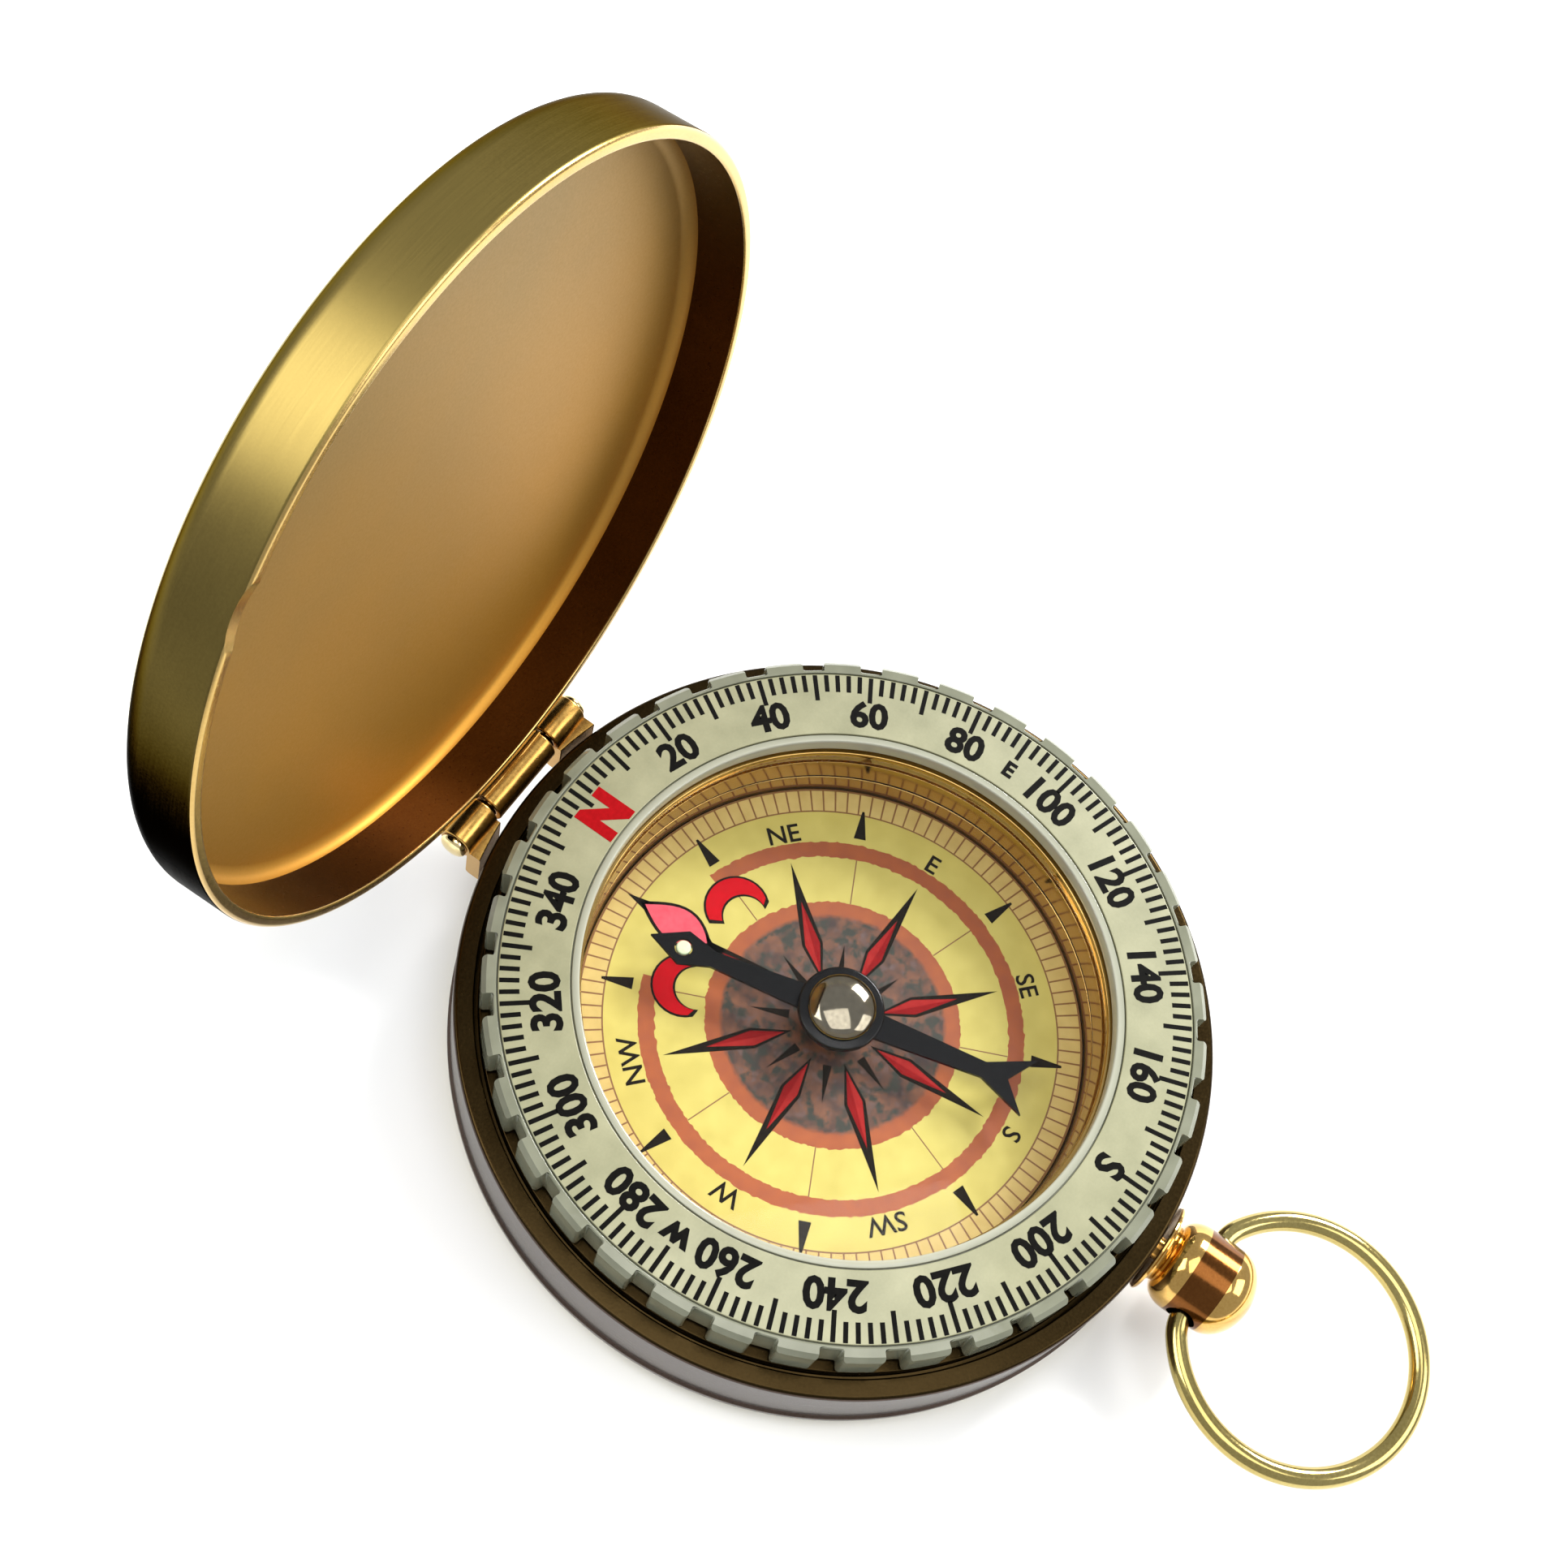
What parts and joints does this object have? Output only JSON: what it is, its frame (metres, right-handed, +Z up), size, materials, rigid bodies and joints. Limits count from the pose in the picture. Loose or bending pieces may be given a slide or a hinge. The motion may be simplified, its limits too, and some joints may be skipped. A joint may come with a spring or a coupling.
{
  "type": "pocket survival compass with flip lid",
  "caption": "Round pocket compass: shallow case, flip lid on a hinge, scalloped degree bezel, needle over a rose card, crown with a carrying ring.",
  "frame": {"origin": "centre of the back cover's outer face, on which the case lies", "axes": "+Z up out of the dial, +Y towards the hinge, where the dial's north is, +X towards the dial's east"},
  "size_m": [0.0504, 0.0816, 0.0596],
  "materials": {
    "cover_gold": "satin gold-coloured plating with a fine speckle",
    "band_gold": "satin gold-coloured plating, polished on the rim",
    "well_gold": "polished gold-coloured plating",
    "spacer_black": "moulded black plastic",
    "dial_print": "printed card under the crystal",
    "crystal_clear": "clear flat window",
    "spring_steel": "plain spring steel",
    "pivot_steel": "polished steel",
    "crown_gold": "polished, pale gold-coloured",
    "hinge_gold": "satin gold-coloured plating",
    "pin_gold": "bright gold-coloured",
    "lid_gold": "satin gold-coloured plating",
    "bezel_clear": "clear moulded acrylic",
    "scale_print": "pale green printed ring",
    "needle_black": "black painted steel",
    "jewel_clear": "red jewel cup",
    "cap_chrome": "bright dome",
    "lume": "pale green luminous dot",
    "bow_gold": "polished pale brass wire"
  },
  "bodies": {
    "case": {"back_cover": "cover_gold", "case_band": "band_gold", "bezel_seat": "well_gold", "capsule_spacer": "spacer_black", "capsule_cup": "well_gold", "dial_card": "dial_print", "crystal": "crystal_clear", "bezel_spring": "spring_steel", "pivot_post": "pivot_steel", "pivot_collar": "hinge_gold", "crown": "crown_gold", "crown_nut": "hinge_gold", "hinge_pin": "pin_gold", "hinge_knuckle_left": "hinge_gold", "hinge_knuckle_right": "hinge_gold"},
    "lid": {"lid_shell": "lid_gold", "lid_hinge_barrel": "hinge_gold"},
    "bezel": {"bezel_ring": "bezel_clear", "bezel_scale": "scale_print"},
    "needle": {"needle_blade": "needle_black", "needle_hub": "needle_black", "needle_jewel": "jewel_clear", "needle_cap": "cap_chrome", "needle_dot": "lume"},
    "bow": {"bow_ring": "bow_gold"}
  },
  "joints": [
    {"name": "lid_hinge", "type": "hinge", "parent": "case", "child": "lid", "pos_m": [0, 0.0265, 0.00835], "axis": [1, 0, 0], "range_deg": [0, 95.5]},
    {"name": "bezel_turn", "type": "hinge", "parent": "case", "child": "bezel", "pos_m": [0, 0, 0.0101], "axis": [0, 0, 1], "continuous": true},
    {"name": "needle_swing", "type": "hinge", "parent": "case", "child": "needle", "pos_m": [0, 0, 0.0069], "axis": [0, 0, 1], "continuous": true},
    {"name": "ring_swing", "type": "hinge", "parent": "case", "child": "bow", "pos_m": [0, -0.0289, 0.0051], "axis": [1, 0, 0], "range_deg": [-110, 110]}
  ]
}
